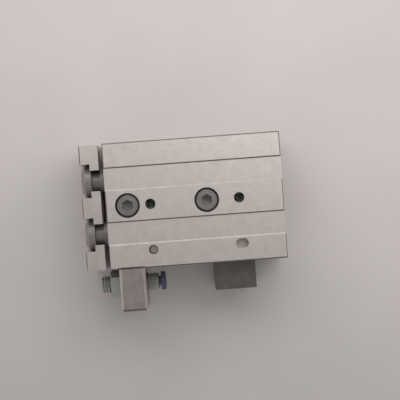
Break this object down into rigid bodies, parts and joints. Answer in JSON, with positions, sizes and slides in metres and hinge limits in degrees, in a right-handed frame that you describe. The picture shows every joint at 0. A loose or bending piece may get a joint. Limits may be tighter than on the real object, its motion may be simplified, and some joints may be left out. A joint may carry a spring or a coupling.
{
  "type": "pneumatic slide table",
  "caption": "Compact pneumatic slide table: a double-acting cylinder body with a crossed-roller guide, a sliding table with its end plate, and an adjustable stroke stop.",
  "frame": {"origin": "centre of the two tapped mounting holes, in the plane of the body's mounting face", "axes": "+Z out of the mounting face (the part lies on its table face), +X along the stroke away from the end plate, so the table extends towards -X; +Y towards the air ports, with the stroke adjuster on the -Y side"},
  "size_m": [0.0635, 0.0534, 0.026],
  "materials": {
    "anodised_body": "satin clear anodised",
    "plated_end_plate": "satin",
    "nickel_block": "bright plated",
    "table_steel": "ground and plated",
    "guide_steel": "ground",
    "dark_stopper": "blackened",
    "blue_urethane": "matte",
    "zinc_adjuster": "zinc plated",
    "zinc_screw": "zinc plated",
    "magnet": "sintered",
    "collar_steel": "turned",
    "cage_steel": "stamped",
    "roller_steel": "ground",
    "rod_chrome": "hard chromed",
    "seal_rubber": "moulded",
    "piston_alloy": "turned",
    "clip_steel": "phosphated",
    "cover_alloy": "turned",
    "end_bumper": "moulded"
  },
  "bodies": {
    "body": {"adjuster_block": "nickel_block", "adjuster_block_screw": "zinc_screw", "body_block": "anodised_body", "cage_stop_front": "cage_steel", "cage_stop_rear": "cage_steel", "cage_stop_screws": "zinc_screw", "guide_rail": "guide_steel", "guide_rail_screws": "zinc_screw", "head_bumper_1": "end_bumper", "head_bumper_2": "end_bumper", "head_cap_1": "cover_alloy", "head_cap_2": "cover_alloy", "head_cap_clip_1": "clip_steel", "head_cap_clip_2": "clip_steel", "head_cap_o_ring_1": "seal_rubber", "head_cap_o_ring_2": "seal_rubber", "rod_bumper_1": "end_bumper", "rod_bumper_2": "end_bumper", "rod_cover_1": "cover_alloy", "rod_cover_2": "cover_alloy", "rod_cover_clip_1": "clip_steel", "rod_cover_clip_2": "clip_steel", "rod_cover_o_ring_1": "seal_rubber", "rod_cover_o_ring_2": "seal_rubber", "rod_seal_1": "seal_rubber", "rod_seal_2": "seal_rubber"},
    "table": {"end_plate": "plated_end_plate", "end_plate_screws": "zinc_screw", "piston_1": "piston_alloy", "piston_2": "piston_alloy", "piston_magnet": "magnet", "piston_rod_1": "rod_chrome", "piston_rod_2": "rod_chrome", "piston_seal_1": "seal_rubber", "piston_seal_2": "seal_rubber", "rod_end_collar_1": "collar_steel", "rod_end_collar_2": "collar_steel", "rod_end_screw_1": "zinc_screw", "rod_end_screw_2": "zinc_screw", "rod_end_washer_1": "collar_steel", "rod_end_washer_2": "collar_steel", "stopper": "dark_stopper", "stopper_screws": "zinc_screw", "table": "table_steel"},
    "cage_1": {"roller_cage_1": "cage_steel", "rollers_1": "roller_steel"},
    "cage_2": {"roller_cage_2": "cage_steel", "rollers_2": "roller_steel"},
    "adjuster_bumper": {"adjuster_bumper": "blue_urethane"},
    "adjuster_screw": {"adjuster_screw": "zinc_adjuster"},
    "lock_nut": {"lock_nut": "zinc_adjuster"}
  },
  "joints": [
    {"name": "table_slide", "type": "slide", "parent": "body", "child": "table", "axis": [-1, 0, 0], "range_m": [0, 0.0158]},
    {"name": "cage_1_slide", "type": "slide", "parent": "body", "child": "cage_1", "axis": [-1, 0, 0], "range_m": [0, 0.0079]},
    {"name": "cage_2_slide", "type": "slide", "parent": "body", "child": "cage_2", "axis": [-1, 0, 0], "range_m": [0, 0.0079]},
    {"name": "adjuster_travel", "type": "slide", "parent": "body", "child": "adjuster_bumper", "axis": [-1, 0, 0], "range_m": [0, 0.0041]},
    {"name": "adjuster_turn", "type": "hinge", "parent": "adjuster_bumper", "child": "adjuster_screw", "pos_m": [-0.0227, -0.0252, -0.0123], "axis": [-1, 0, 0], "range_deg": [0, 1476]},
    {"name": "lock_nut_turn", "type": "hinge", "parent": "body", "child": "lock_nut", "pos_m": [-0.0272, -0.0252, -0.0123], "axis": [-1, 0, 0], "range_deg": [0, 90]}
  ],
  "couplings": [
    {"joint": "cage_1_slide", "follows": "table_slide", "ratio": 0.5},
    {"joint": "cage_2_slide", "follows": "table_slide", "ratio": 0.5},
    {"joint": "adjuster_turn", "follows": "adjuster_travel", "rad_per_m": 6283.2}
  ]
}
